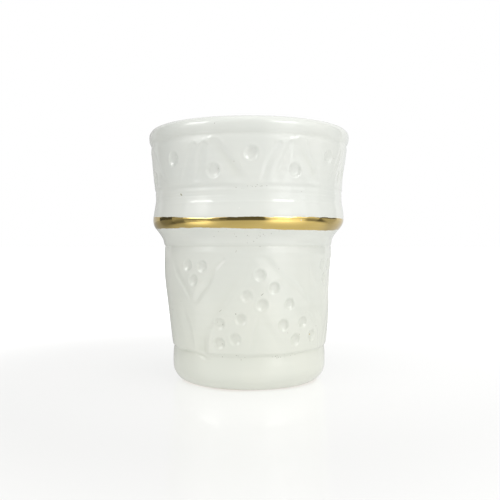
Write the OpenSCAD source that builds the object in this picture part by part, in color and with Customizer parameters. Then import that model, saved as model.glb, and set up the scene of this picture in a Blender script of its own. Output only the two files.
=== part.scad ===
// Small handleless coffee cup of engraved earthenware, white glazed, with one gold lustre band.
// The clay is thrown and turned in one piece. The glaze and the lustre are coats fired onto it.
// All radii and heights below are taken over the glaze, with the cup standing on z = 0.

/* [Heights, stacked from the table to the lip] */
// Plain foot band, up to the groove that ends it
foot_band_h = 10.4; // [8:0.2:13]
// Carved field, from the foot groove to the step groove
field_h = 30.4; // [24:0.2:38]
// Cove that flares out from the step groove to the crest of the bulge
cove_h = 8.2; // [6:0.2:11]
// From the crest of the bulge to the narrowest point of the waist
waist_h = 6.4; // [5:0.2:9]
// From the waist to the groove under the frieze
collar_h = 1.5; // [1.2:0.1:3]
// Frieze of triangles, from its lower groove to the rim groove
frieze_h = 14.3; // [12:0.1:18]
// Plain rim band, from the rim groove to the top of the lip
rim_band_h = 4.8; // [4.2:0.1:7]

/* [Diameters] */
// Resting ring, outside
base_d = 39; // [36:0.2:42]
// Foot band
foot_d = 47.4; // [46:0.2:50]
// Carved field at its foot
field_foot_d = 47.6; // [46:0.2:50]
// Carved field at its top
field_top_d = 52.3; // [50:0.2:55]
// Crest of the bulge, under the gold
bulge_d = 59.1; // [57:0.2:62]
// Waist above the bulge
waist_d = 57.7; // [55:0.2:60]
// Rim groove
rim_groove_d = 61.2; // [59:0.2:64]
// Lip, at its widest
lip_d = 62; // [60:0.2:66]

/* [Walls] */
// Wall of the body, glaze on both sides included
wall_t = 4; // [3:0.1:5]
// Wall at the crest of the bulge, which is fuller
bulge_t = 5.9; // [4.6:0.1:7]
// Wall at the rim groove
rim_t = 4.25; // [3.2:0.05:5]
// Lip, which is fuller than the wall
lip_t = 4.4; // [3.4:0.1:5]
// Floor, glaze on both sides included
floor_t = 4.2; // [3:0.1:6]
// Width of the bare ring that the cup stands on
ring_w = 2.6; // [1.8:0.1:4]
// Depth of the hollow inside that ring
recess_h = 1.4; // [0.8:0.1:2.4]

/* [Coats] */
// Glaze, outside and in
glaze_t = 0.4; // [0.2:0.05:0.6]
// Gold lustre
gold_t = 0.12; // [0.08:0.02:0.3]
// Gold band, from its lower edge to the crest of the bulge
gold_below_h = 3.4; // [2:0.1:4.5]
// Gold band, from the crest of the bulge to its upper edge
gold_above_h = 0.2; // [0.1:0.1:1.5]

/* [Carving] */
// Mouth of a dot in the carved field
dot_d = 3.3; // [2.4:0.1:4]
// Depth of a dot in the carved field
dot_h = 0.8; // [0.4:0.05:1.1]
// Mouth of a dimple in the frieze
dimple_d = 3.8; // [2.8:0.1:4.6]
// Depth of a dimple in the frieze
dimple_h = 0.85; // [0.4:0.05:1.2]
// Width of a channel in the carved field
channel_w = 2.2; // [1.4:0.1:3]
// Width of a channel in the frieze
frieze_channel_w = 1.9; // [1.2:0.1:2.6]
// Depth of every channel
channel_h = 0.5; // [0.2:0.05:0.8]
// Depth of the grooves that ring the cup
groove_h = 0.35; // [0.15:0.05:0.5]
// Width of the foot and step grooves
groove_w = 1; // [0.6:0.1:1.6]
// Width of the two frieze grooves
frieze_groove_w = 1.8; // [1:0.1:2.2]

/* [Hidden] */
$fn = 96;
ball_sides = 32;

// Corner between the resting ring and the foot band, an ellipse seen from the side
corner_h = 4.8;
// The outer glaze is wiped off the last stretch of that corner, up to this angle below level
bare_angle = 55;
// Corner between the wall and the floor, inside
floor_corner_r = 5;
// How far the wall of the carved field swells out past a straight line
field_swell = 0.35;
// Above 1 the cove spreads later, which leaves the bulge fuller
cove_lag = 1.08;
// How far a cutter stands proud of what it cuts
overrun = 2;

// Heights of the stations, from the table
foot_groove_z = foot_band_h;
step_groove_z = foot_groove_z + field_h;
bulge_z = step_groove_z + cove_h;
waist_z = bulge_z + waist_h;
frieze_groove_z = waist_z + collar_h;
rim_groove_z = frieze_groove_z + frieze_h;
cup_h = rim_groove_z + rim_band_h;
lip_z = cup_h - lip_t / 2;
floor_z = recess_h + floor_t;
gold_foot_z = bulge_z - gold_below_h;
gold_top_z = bulge_z + gold_above_h;
ring_inner_r = base_d / 2 - ring_w;

// Stretches that an eased or straight part of the outline is drawn with
plain_steps = 2;
field_steps = 4;
ease_steps = 7;
gold_steps = 6;
corner_steps = 8;
lip_steps = 16;

// Dimples of the frieze, in degrees from the front, by hand and so not evenly spaced.
// Even entries sit low in an upright triangle, odd ones high in a hanging triangle.
dimple_angles = [-70.5, -45, -19.5, 1.5, 25.5, 49, 72, 94, 115, 137, 159, 181, 203, 225, 247, 268];
low_dimple_share = 0.31;
high_dimple_share = 0.62;
// Channels left and right of an upright triangle: their tops, in degrees from its own dimple,
// and their feet, in degrees from the dimples of the hanging triangles on either side
channel_top_angles = [-6.5, 2.5];
channel_foot_angles = [10, -6];
// How much of the frieze a channel crosses, from just above the lower groove
channel_foot_share = 0.08;
channel_top_share = 0.87;

// The carved field holds three triangles of dots. Each runs from one of these angles to the next,
// and a plain stretch on the left of the front closes the ring
panel_angles = [-34, 63, 164, 266];
// Dots of a panel, as shares of its angle and of the field's height
dot_shares = [
    [0.425, 0.74], [0.52, 0.62], [0.335, 0.545], [0.44, 0.465], [0.63, 0.47],
    [0.295, 0.33], [0.15, 0.285], [0.59, 0.275], [0.75, 0.29],
    [0.145, 0.11], [0.255, 0.145], [0.69, 0.13], [0.845, 0.155]
];
// Channels that bound a panel's triangle, left side, right side and the notch at its foot
panel_channel_shares = [
    [[0.42, 0.95], [0.195, 0.48]], [[0.195, 0.48], [0.045, 0.25]], [[0.045, 0.25], [0.01, 0.04]],
    [[0.445, 0.95], [0.73, 0.5]], [[0.73, 0.5], [0.9, 0.23]], [[0.9, 0.23], [0.975, 0.04]],
    [[0.42, 0.33], [0.35, 0.04]], [[0.42, 0.33], [0.56, 0.04]]
];
// Dots and channels of the small hanging triangle, in degrees from the seam between two panels
drop_dots = [[-8, 0.82], [3.5, 0.82], [-3.5, 0.69]];
drop_channels = [[[-20, 0.89], [-4.5, 0.49]], [[19.5, 0.89], [0.5, 0.45]]];

// Front of the cup is at -Y
function turn(angle) = angle - 90;
function mix(a, b, t) = a + (b - a) * t;
function ease(t) = (1 - cos(180 * t)) / 2;
function steep_ease(t) = t * t * t * (10 - 15 * t + 6 * t * t);
function share_of(z, low, high) = (z - low) / (high - low);

// Outside radius over the glaze at height z, without the grooves
function outer_r(z) =
    z < foot_groove_z ? foot_d / 2
    : z < step_groove_z ?
        let (t = share_of(z, foot_groove_z, step_groove_z))
        mix(field_foot_d, field_top_d, t) / 2 + 4 * field_swell * t * (1 - t)
    : z < bulge_z ?
        mix(field_top_d, bulge_d, steep_ease(pow(share_of(z, step_groove_z, bulge_z), cove_lag))) / 2
    : z < waist_z ? mix(bulge_d, waist_d, ease(share_of(z, bulge_z, waist_z))) / 2
    : z < rim_groove_z ? mix(waist_d, rim_groove_d, share_of(z, waist_z, rim_groove_z)) / 2
    : mix(rim_groove_d, lip_d, min(1, share_of(z, rim_groove_z, lip_z))) / 2;

// Points of the outline from one height to the next, the last one left to what follows
function stretch(low, high, steps) =
    [for (i = [0 : steps - 1]) let (z = mix(low, high, i / steps)) [outer_r(z), z]];
function groove(z, w) =
    [[outer_r(z - w / 2), z - w / 2], [outer_r(z) - groove_h, z], [outer_r(z + w / 2), z + w / 2]];
function arc(centre, radii, from, to, steps) =
    [for (i = [0 : steps]) let (a = mix(from, to, i / steps))
        [centre[0] + radii[0] * cos(a), centre[1] + radii[1] * sin(a)]];

// The outline over the glaze, from the glaze line at the foot, over the lip and just inside it
outer_path = concat(
    arc([base_d / 2, corner_h], [(foot_d - base_d) / 2, corner_h], -bare_angle, 0, corner_steps),
    groove(foot_groove_z, groove_w),
    stretch(foot_groove_z + groove_w, step_groove_z - groove_w, field_steps),
    groove(step_groove_z, groove_w),
    stretch(step_groove_z + groove_w, gold_foot_z, ease_steps),
    stretch(gold_foot_z, gold_top_z, gold_steps),
    stretch(gold_top_z, waist_z, ease_steps),
    groove(frieze_groove_z, frieze_groove_w),
    stretch(frieze_groove_z + frieze_groove_w, rim_groove_z - frieze_groove_w, plain_steps),
    groove(rim_groove_z, frieze_groove_w),
    arc([(lip_d - lip_t) / 2, lip_z], [lip_t / 2, lip_t / 2], 0, 180, lip_steps)
);
lap = len(outer_path) - 1;
// Inside radius at the foot of the wall, a wall's distance from foot band and field alike
inner_foot_r = min(foot_d, field_foot_d) / 2 - wall_t;
// The outline over the glaze inside, from the lip's lapped edge to the axis. It keeps a wall's
// distance from every station of the outside, so that neither can break through the other
inner_path = concat(
    [outer_path[lap]],
    [[rim_groove_d / 2 - rim_t, rim_groove_z], [waist_d / 2 - wall_t, waist_z]],
    [[bulge_d / 2 - bulge_t, bulge_z], [field_top_d / 2 - wall_t, step_groove_z]],
    arc([inner_foot_r - floor_corner_r, floor_z + floor_corner_r],
        [floor_corner_r, floor_corner_r], 0, -90, corner_steps),
    [[0, floor_z]]
);
gold_path = concat(stretch(gold_foot_z, gold_top_z, gold_steps), [[outer_r(gold_top_z), gold_top_z]]);

// A path moved to its left by a distance, its corners mitred
function unit(v) = v / norm(v);
function left_of(a, b) = let (d = unit(b - a)) [-d[1], d[0]];
function moved(path, distance) =
    let (last = len(path) - 1)
    [for (i = [0 : last])
        let (
            before = i == 0 ? left_of(path[0], path[1]) : left_of(path[i - 1], path[i]),
            after = i == last ? before : left_of(path[i], path[i + 1]),
            both = before + after
        )
        path[i] + both * distance * 2 / (both * both)];
function reversed(path) = [for (i = [len(path) - 1 : -1 : 0]) path[i]];
function on_axis(path) = [for (p = path) [max(0, p[0]), p[1]]];

function part_of(path, from, to) = [for (i = [from : to]) path[i]];

// The clay lies one coat inside both outlines, which share the point at the lapped edge
clay_face = moved(concat(outer_path, part_of(inner_path, 1, len(inner_path) - 1)), glaze_t);
clay_outer_path = part_of(clay_face, 0, lap);
clay_inner_path = on_axis(part_of(clay_face, lap, len(clay_face) - 1));
recess_z = recess_h + glaze_t;
clay_path = concat(
    [[0, recess_z], [ring_inner_r, recess_z], [ring_inner_r, 0], [base_d / 2, 0]],
    clay_outer_path,
    part_of(clay_inner_path, 1, len(clay_inner_path) - 1)
);

module revolved(path) {
    rotate_extrude() polygon(path);
}

// Band of the wall between two heights, from a depth under the glazed surface outwards
module wall_skin(low, high, steps, depth) {
    face = concat(stretch(low, high, steps), [[outer_r(high), high]]);
    beyond = [[outer_r(high) + overrun, high], [outer_r(low) + overrun, low]];
    revolved(concat([for (p = face) p - [depth, 0]], beyond));
}

// Ball that presses one dot, its centre standing off the wall. grown is the coat left out in clay
module dot_cutter(angle, z, mouth, depth, grown) {
    ball_r = (mouth * mouth / 4 + depth * depth) / (2 * depth);
    rotate([0, 0, turn(angle)])
        translate([outer_r(z) + ball_r - depth, 0, z])
            sphere(r = ball_r + grown, $fn = ball_sides);
}

// Straight channel between two places on the wall, each [angle, z]
module channel_bar(from, to, w, grown) {
    middle = (from + to) / 2;
    wall_r = outer_r(middle[1]);
    across = 2 * wall_r * sin((to[0] - from[0]) / 2);
    up = to[1] - from[1];
    length = norm([across, up]) + w / 2;
    rotate([0, 0, turn(middle[0])])
        translate([wall_r, 0, middle[1]])
            rotate([atan2(up, across), 0, 0])
                cube([4 * overrun, length + 2 * grown, w + 2 * grown], center = true);
}

function field_z(share) = mix(foot_groove_z, step_groove_z, share);
function frieze_z(share) = mix(frieze_groove_z, rim_groove_z, share);
function on_panel(i, share) =
    [mix(panel_angles[i], panel_angles[i + 1], share[0]), field_z(share[1])];
function on_seam(i, place) = [panel_angles[i] + place[0], field_z(place[1])];
panels = [0 : len(panel_angles) - 2];

module field_dots(grown) {
    for (i = panels) {
        for (share = dot_shares) {
            place = on_panel(i, share);
            dot_cutter(place[0], place[1], dot_d, dot_h, grown);
        }
        for (dot = drop_dots) {
            place = on_seam(i, dot);
            dot_cutter(place[0], place[1], dot_d, dot_h, grown);
        }
    }
}

module field_channels(grown) {
    intersection() {
        wall_skin(foot_groove_z + groove_w - grown, step_groove_z - groove_w + grown,
            field_steps, channel_h + grown);
        union()
            for (i = panels) {
                for (ends = panel_channel_shares)
                    channel_bar(on_panel(i, ends[0]), on_panel(i, ends[1]), channel_w, grown);
                for (ends = drop_channels)
                    channel_bar(on_seam(i, ends[0]), on_seam(i, ends[1]), channel_w, grown);
            }
    }
}

module frieze_dimples(grown) {
    for (i = [0 : len(dimple_angles) - 1]) {
        share = i % 2 == 0 ? low_dimple_share : high_dimple_share;
        dot_cutter(dimple_angles[i], frieze_z(share), dimple_d, dimple_h, grown);
    }
}

module frieze_channels(grown) {
    last = len(dimple_angles) - 1;
    foot_z = frieze_z(channel_foot_share);
    top_z = frieze_z(channel_top_share);
    intersection() {
        wall_skin(frieze_groove_z + frieze_groove_w - grown, rim_groove_z - frieze_groove_w + grown,
            plain_steps, channel_h + grown);
        union()
            for (i = [0 : 2 : last]) {
                here = dimple_angles[i];
                before = i == 0 ? dimple_angles[last] - 360 : dimple_angles[i - 1];
                after = dimple_angles[i + 1];
                channel_bar([before + channel_foot_angles[0], foot_z],
                    [here + channel_top_angles[0], top_z], frieze_channel_w, grown);
                channel_bar([after + channel_foot_angles[1], foot_z],
                    [here + channel_top_angles[1], top_z], frieze_channel_w, grown);
            }
    }
}

module carving(grown) {
    field_dots(grown);
    field_channels(grown);
    frieze_dimples(grown);
    frieze_channels(grown);
}

// Fired clay: wall, floor and foot ring from one lump, with the engraving cut into it
module clay_body() {
    color("linen")
        difference() {
            revolved(clay_path);
            carving(glaze_t);
        }
}

// Dipped coat from the glaze line above the foot, over the lip, to its lapped edge inside
module outer_glaze() {
    color("mintcream")
        difference() {
            revolved(concat([[0, outer_path[0][1]]], outer_path, [[0, outer_path[lap][1]]]));
            difference() {
                revolved(concat([[0, 0], outer_path[0]], clay_outer_path,
                    [outer_path[lap], outer_path[lap] + [0, overrun], [0, cup_h]]));
                carving(glaze_t);
            }
            carving(0);
        }
}

// Poured coat that lines the cup from that lapped edge to the floor
module inner_glaze() {
    color("mintcream")
        revolved(concat(inner_path, reversed(clay_inner_path)));
}

// Brushed coat on the underside, inside the bare ring
module foot_glaze() {
    color("mintcream")
        translate([0, 0, recess_h])
            cylinder(r = ring_inner_r, h = glaze_t);
}

// Painted lustre over the lower face and the crest of the bulge
module gold_band() {
    color("goldenrod")
        revolved(concat(gold_path, reversed(moved(gold_path, -gold_t))));
}

clay_body();
outer_glaze();
inner_glaze();
foot_glaze();
gold_band();
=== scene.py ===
import math
import bpy
import numpy as np
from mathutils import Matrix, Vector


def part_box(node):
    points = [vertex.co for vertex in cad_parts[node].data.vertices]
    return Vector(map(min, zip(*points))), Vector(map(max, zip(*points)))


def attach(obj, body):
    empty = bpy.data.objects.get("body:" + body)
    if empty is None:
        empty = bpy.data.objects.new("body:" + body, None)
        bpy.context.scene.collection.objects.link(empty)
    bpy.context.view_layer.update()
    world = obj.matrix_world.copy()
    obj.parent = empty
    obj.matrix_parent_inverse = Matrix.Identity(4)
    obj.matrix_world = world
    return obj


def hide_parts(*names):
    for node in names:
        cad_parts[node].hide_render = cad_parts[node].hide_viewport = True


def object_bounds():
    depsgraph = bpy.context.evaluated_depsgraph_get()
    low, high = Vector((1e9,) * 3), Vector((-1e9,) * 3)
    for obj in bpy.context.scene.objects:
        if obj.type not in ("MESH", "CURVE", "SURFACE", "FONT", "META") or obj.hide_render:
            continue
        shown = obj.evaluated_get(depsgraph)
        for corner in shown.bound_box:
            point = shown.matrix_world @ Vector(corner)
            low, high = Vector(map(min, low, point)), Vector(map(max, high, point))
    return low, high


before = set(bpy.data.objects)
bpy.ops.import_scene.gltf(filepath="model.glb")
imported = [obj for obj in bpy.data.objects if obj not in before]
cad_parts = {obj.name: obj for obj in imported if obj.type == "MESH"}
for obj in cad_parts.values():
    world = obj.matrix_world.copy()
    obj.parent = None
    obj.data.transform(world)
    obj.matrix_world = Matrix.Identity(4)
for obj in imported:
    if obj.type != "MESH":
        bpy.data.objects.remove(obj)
cadLow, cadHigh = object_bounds()
mm = 0.001
print("stage: frame loaded")

# The turned form in mm, measured over the glaze. Heights are counted from the table
cup = {
    "height": cadHigh.z / mm,
    "lipRadius": cadHigh.x / mm,
    "lipWall": 4.4,
    "standRadius": 19.5,
    "standWidth": 2.6,
    "recess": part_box("foot_glaze")[0].z / mm,
    "footRadius": 23.7,
    "corner": 4.8,
    "footGroove": 10.4,
    "fieldFootRadius": 23.8,
    "fieldTopRadius": 26.15,
    "fieldSwell": 0.35,
    "step": 40.8,
    "bulge": 49.0,
    "bulgeRadius": 29.55,
    "waist": 55.4,
    "waistRadius": 28.85,
    "rimGroove": 71.2,
    "rimGrooveRadius": 30.6,
    "rimFullness": 2.2,
    "coveLag": 1.08,
    "wall": 4.0,
    "bulgeWall": 5.9,
    "rimWall": 4.25,
    "floor": 5.6,
    "floorCorner": 5.0,
    "glaze": 0.4,
}
cup["lipMiddle"] = cup["height"] - cup["lipWall"] / 2
cup["lipCentre"] = cup["lipRadius"] - cup["lipWall"] / 2
cup["floorTop"] = cup["floor"] + cup["floorCorner"]


def mix(a, b, t):
    return a + (b - a) * t


def smooth(t):
    t = np.clip(t, 0, 1)
    return t * t * (3 - 2 * t)


def ease(t):
    return (1 - np.cos(np.pi * t)) / 2


# A rise that leaves and meets its ends more gently, with a steeper middle
def steepEase(t):
    return t ** 3 * (10 - 15 * t + 6 * t ** 2)


def shareOf(z, low, high):
    return np.clip((z - low) / (high - low), 0, 1)


def bell(distance, width):
    return np.exp(-(distance / width) ** 2)


def wrapped(angle):
    return (angle + 180) % 360 - 180


# Soft patches round the cup: middle angle, half width and strength of each
def patches(angle, places):
    return sum(most * bell(wrapped(angle - middle), halfWidth) for middle, halfWidth, most in places)


# Outside radius at height z before carving
def wallRadius(z):
    groove, step, bulge, waist, rimGroove = [
        cup[key] for key in ("footGroove", "step", "bulge", "waist", "rimGroove")]
    field = shareOf(z, groove, step)
    cove = steepEase(shareOf(z, step, bulge) ** cup["coveLag"])
    rim = 1 - (1 - shareOf(z, rimGroove, cup["lipMiddle"])) ** cup["rimFullness"]
    swell = 4 * cup["fieldSwell"] * field * (1 - field)
    return np.select(
        [z < groove, z < step, z < bulge, z < waist, z < rimGroove],
        [cup["footRadius"],
         mix(cup["fieldFootRadius"], cup["fieldTopRadius"], field) + swell,
         mix(cup["fieldTopRadius"], cup["bulgeRadius"], cove),
         mix(cup["bulgeRadius"], cup["waistRadius"], ease(shareOf(z, bulge, waist))),
         mix(cup["waistRadius"], cup["rimGrooveRadius"], shareOf(z, waist, rimGroove))],
        mix(cup["rimGrooveRadius"], cup["lipRadius"], rim))


# Inside radius at height z, above the corner of the floor
def innerRadius(z):
    stations = [("floorTop", "footRadius", "wall"), ("step", "fieldTopRadius", "wall"),
                ("bulge", "bulgeRadius", "bulgeWall"), ("waist", "waistRadius", "wall"),
                ("rimGroove", "rimGrooveRadius", "rimWall"), ("lipMiddle", "lipRadius", "lipWall")]
    return np.interp(z, *zip(*[(cup[height], cup[outer] - cup[wall]) for height, outer, wall in stations]))


# Soft waves round and up the wall, from -1 to 1, the same each run
def uneven(seed, angle, z, mostTurns, leastHeight, waves=9):
    rng = np.random.default_rng(seed)
    total = 0 * (angle + z)
    for _ in range(waves):
        turns = rng.integers(1, mostTurns + 1)
        rise = rng.uniform(-1, 1) * 2 * np.pi / leastHeight
        total = total + np.sin(np.radians(angle) * turns + z * rise + rng.uniform(0, 2 * np.pi))
    return np.tanh(total / math.sqrt(waves))


# A row of places round the cup, in metres. The front of the cup is at -Y
def ring(radius, angle, z):
    radius, angle, z = np.broadcast_arrays(radius, angle, z)
    turn = np.radians(angle)
    return np.stack([radius * np.sin(turn), -radius * np.cos(turn), z], axis=-1) * mm


pole = np.array([0.0])


# Joins rings into one skin. A ring may have a whole number of times the points of the next,
# and a ring of one point is a pole
def ringFaces(rings, closed):
    starts = np.cumsum([0] + [len(row) for row in rings])
    pairs = [(i, i + 1) for i in range(len(rings) - 1)] + [(len(rings) - 1, 0)] * closed
    faces = []
    for a, b in pairs:
        counts = len(rings[a]), len(rings[b])
        turns = max(counts) if 1 in counts else min(counts)
        if turns == 1:
            continue
        sides = [(starts[row], count, count // turns) for row, count in zip((a, b), counts)]
        for j in range(turns):
            lower, upper = [[start + (j * stride + k) % count for k in range(stride + 1)]
                            for start, count, stride in sides]
            faces.append(lower + upper[::-1])
    return faces


def placeObject(name, data):
    item = bpy.data.objects.new(name, data)
    bpy.context.scene.collection.objects.link(item)
    return item


def makePiece(name, rings, closed, values=None, sharpRings=()):
    vertices = np.concatenate(rings)
    mesh = bpy.data.meshes.new(name)
    mesh.from_pydata(vertices.tolist(), [], ringFaces(rings, closed))
    mesh.polygons.foreach_set("use_smooth", [True] * len(mesh.polygons))
    for key, rows in (values or {}).items():
        flat = np.zeros(len(vertices), np.float32)
        given = np.concatenate(rows)
        flat[:len(given)] = given
        mesh.attributes.new(key, "FLOAT", "POINT").data.foreach_set("value", flat)
    starts = np.cumsum([0] + [len(row) for row in rings])
    edges = np.zeros(len(mesh.edges) * 2, np.int32)
    mesh.edges.foreach_get("vertices", edges)
    pairs = edges.reshape(-1, 2)
    sharp = np.zeros(len(pairs), bool)
    for i in sharpRings:
        sharp |= ((pairs >= starts[i]) & (pairs < starts[i + 1])).all(axis=1)
    mesh.attributes.new("sharp_edge", "BOOLEAN", "EDGE").data.foreach_set("value", sharp)
    mesh.update()
    print("stage:", name, len(mesh.polygons), "faces")
    return placeObject(name, mesh)


# Frieze of triangles. Even dimples sit low in an upright triangle, odd ones high in a hanging one
frieze = {
    "dimples": [(-70.4, 60.6), (-45.1, 65.1), (-19.3, 61.3), (1.3, 65.8), (25.6, 61.6), (48.8, 66.0),
                (72.1, 62.3), (94, 65.6), (115, 61.2), (137, 65.9), (159, 61.5), (181, 65.4),
                (203, 61.0), (225, 65.7), (247, 61.6), (268, 65.5)],
    "dimpleWidth": 3.9,
    "dimpleDepth": 0.62,
    "foot": 57.9,
    "top": 68.6,
    # strokes beside an upright triangle: angles of the top and the foot from its dimple, then width,
    # depth, lean and ends
    "strokes": [
        (1.3, 16.4, 4.6, 0.5, -0.3, (0.5, 1.0, 0.25)),
        (-4.6, -11.8, 2.8, 0.34, 0.3, (0.6, 1.0, 0.3)),
        (-11.0, -20.4, 2.4, 0.26, 0.3, (0.7, 1.0, 0.3)),
    ],
    "fades": ((57.6, 1.4), (70.1, 1.6)),  # heights where strokes run out, and how softly
    "tipLeans": [-1.5, 0, 1.2, 0.5, -1.2, 1.0, -0.4, 0.8],
    "shares": [0.5, 0.85, 0.85, 0.5, 1, 1, 0.9, 1],  # of the depth, for each upright triangle
    # burrs over the heads of the strokes: height and half width, and their middle under the top
    "burr": (0.12, 0.36),
    "burrDrop": 0.5,
}

# Carved field of three panels and a plain stretch. Each panel has a large triangle of dots, and a
# small hanging one on the seam where it starts
field = {
    "seams": [-34.5, 65.5, 165, 266],
    "seamShares": [1, 0.4, 1],  # of the depth, for the strokes of each seam and its panel
    "dots": [(7.0, 32.9), (16.3, 29.3), (-1.4, 27.0), (8.6, 24.6), (27.2, 24.7), (-5.2, 20.5),
             (-19.6, 19.2), (23.1, 18.8), (38.7, 19.3), (-20.1, 13.7), (-9.0, 14.9), (33.1, 14.4),
             (48.3, 15.1)],
    "dropDots": [(-7.6, 35.4), (3.7, 35.3), (-3.3, 31.3)],
    "dotWidth": 3.3,
    "dotDepth": 0.6,
    "dotFlat": 0.52,  # share of a dot's depth that its steep side takes, the rest is a bowl
    "dotSide": (1.04, 0.38),  # where that side starts and how wide it is, in radii
    "dotLip": (0.05, 1.2, 0.14),  # height of the lip in mm, its place and half width in radii
    "fades": ((9.8, 1.4), (38.6, 1.8)),
    # strokes of the front panel, whose places move with its seams on the others: path, width, depth,
    # lean and ends
    "panelStrokes": [
        ([(0.5, 36.5), (-5.5, 32.2), (-13.0, 27.0), (-22.0, 21.8), (-28.6, 18.3), (-32.0, 14.0),
          (-33.0, 9.5)], 4.4, 0.62, -0.5, (0.2, 0.5, 1.0)),
        ([(9.2, 37.8), (15.0, 34.4), (23.0, 31.2), (34.0, 28.2), (44.0, 23.6)], 4.0, 0.32, -0.25,
         (0.8, 1.0, 0.3)),
        ([(41.3, 22.1), (49.0, 19.8), (56.2, 16.5), (59.8, 11.0)], 1.2, 0.26, 0.2, (0.6, 1.0, 0.8)),
        ([(46.0, 24.0), (54.0, 19.6), (60.5, 14.5), (63.5, 10.5)], 3.4, 0.2, 0.0, (0.2, 1.0, 0.8)),
        ([(7.4, 22.0), (14.4, 16.9), (21.5, 11.2)], 4.6, 0.15, -0.3, (0.7, 1.0, 0.6)),
        ([(6.9, 21.8), (3.0, 16.6), (-0.4, 10.8)], 2.0, 0.16, 0.2, (0.6, 1.0, 1.0)),
    ],
    # strokes of a small triangle, angles from its seam
    "dropStrokes": [
        ([(18.6, 37.2), (13.7, 34.5), (8.5, 30.9), (4.9, 28.4), (-0.9, 25.4)],
         2.2, 0.36, -0.4, (0.8, 1.0, 0.5)),
        ([(-23.0, 37.0), (-18.3, 32.6), (-12.8, 29.2), (-6.5, 26.2)], 2.3, 0.28, 0.4, (0.1, 1.0, 0.6)),
        ([(-14.0, 24.0), (-12.0, 19.5), (-7.0, 13.0), (-4.5, 10.0)], 3.4, 0.2, -0.4, (0.2, 1.0, 0.8)),
    ],
}

# Lines turned or scratched round the cup, in mm and degrees
ringCuts = {
    "foot": (0.08, 0.4),  # depth and half width of the foot groove
    "footGap": (-41, -37, 3),  # where it ends and where it starts, and how softly
    # the foot groove was cut by hand in one turn: angle and height
    "footLine": [(-180, 10.2), (-64, 10.25), (-50, 10.15), (-40, 9.7), (-30, 9.75), (-15, 9.85), (-4, 9.7),
                 (3, 9.9), (12, 10.0), (22, 9.75), (31, 10.0), (45, 10.3), (60, 10.4), (180, 10.2)],
    # the spur where it misses its own start: depth and half width, its fall from one height to another
    # (first angle and turn), and its ends with their softness
    "spur": (0.22, 0.4),
    "spurHeights": (10.5, 8.6, -46, 22),
    "spurEnds": ((-60, 8), (-22, 14)),
    # edges drawn in at the foot groove and the step: depth, reach below and reach above
    "footShoulder": (0.24, 1.8, 0.5),
    "fieldShoulder": (0.2, 1.5, 0.4),
    "frieze": (0.17, 0.575),  # depth and half width
    "friezeHeight": 57.05,
    "friezeDip": [(-1.5, 5.5, 0.65)],
    "friezeWander": 0.12,
    # under the rim and at the step: height, half width, depth
    "turned": [(71.05, 0.9, 0.26), (40.85, 0.4, 0.16)],
    "wander": 0.1,
    # low ridges: height and half width, then the patch where each stands out
    "ridges": [(38.0, 0.2, -35, 26, 0.03), (55.25, 0.2, -45, 40, 0.055), (54.35, 0.18, -45, 40, 0.045),
               (52.85, 0.22, 0, 90, 0.05), (54.85, 0.2, 45, 30, 0.03)],
    # where the frieze groove was cut lightly
    "friezeLight": [(0.5, 8.5, 0.75), (46, 5, 0.6), (-75, 8, 0.5), (108, 14, 0.6), (164, 10, 0.5),
                    (-122, 16, 0.6)],
}
# Shares of a stroke where the gouge is fully in and starts to leave, and how sharp its V is at the wall
# and how round at its foot
gouge = {"entry": 0.3, "exit": 0.75, "sharpness": 12, "rounding": 0.03}
# How far the hand strays in degrees and mm, with the most waves round the cup and the least height of one
hand = {"angle": 0.8, "height": 0.22, "waves": (14, 9)}


# A round-ended stick pressed into clay: a bowl, and a low lip of pushed-up clay
def pressedDot(angle, z, radius, place, width, depth):
    across = np.radians(wrapped(angle - place[0])) * radius
    reach = np.hypot(across, z - place[1]) / (width / 2)
    start, sideWidth = field["dotSide"]
    side = smooth((start - reach) / sideWidth)
    bowl = np.clip(1 - reach ** 2, 0, 1)
    lip, lipPlace, lipWidth = field["dotLip"]
    return depth * mix(bowl, side, field["dotFlat"]) - lip * bell(reach - lipPlace, lipWidth)


# A gouge drawn along a path of places, entering and leaving gently. The lean makes one side of the V
# steeper. The ends are depth shares at the start, in the middle and at the end
def gouged(angle, z, radius, path, width, depth, lean, ends):
    steps = [(math.radians(b[0] - a[0]), b[1] - a[1]) for a, b in zip(path[:-1], path[1:])]
    spans = [math.hypot(turn * cup["fieldTopRadius"], dy) for turn, dy in steps]
    travelled = 0
    cut = np.zeros(angle.shape)
    for (startAngle, startHeight), (turn, dy), span in zip(path, steps, spans):
        x = np.radians(wrapped(angle - startAngle)) * radius
        y = z - startHeight
        dx = turn * radius
        t = np.clip((x * dx + y * dy) / (dx ** 2 + dy ** 2), 0, 1)
        distance = np.hypot(x - t * dx, y - t * dy)
        side = (x * dy - y * dx) / np.hypot(dx, dy) / (distance + 1e-6)
        reach = distance / (width / 2) * (1 + lean * side)
        along = (travelled + t * span) / sum(spans)
        share = np.interp(along, [0, gouge["entry"], gouge["exit"], 1], [ends[i] for i in (0, 1, 1, 2)])
        sharpness = gouge["sharpness"]
        valley = np.logaddexp(0, sharpness * (1 - np.sqrt(reach ** 2 + gouge["rounding"]))) / sharpness
        cut = np.maximum(cut, depth * share * valley)
        travelled += span
    return cut


def footGrooveHeight(angle):
    return np.interp(wrapped(angle), *zip(*ringCuts["footLine"]))


def friezeGrooveHeight(angle):
    wander = ringCuts["friezeWander"] * np.sin(np.radians(2 * angle))
    return ringCuts["friezeHeight"] - patches(angle, ringCuts["friezeDip"]) + wander


# An edge drawn in at a height, with a reach below it and another above
def shoulder(z, height, depth, below, above):
    return depth * bell(z - height, np.where(z < height, below, above))


# Whole between two places and nothing beyond, each end with its softness
def faded(z, low, high):
    return smooth((z - low[0]) / low[1]) * smooth((high[0] - z) / high[1])


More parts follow.
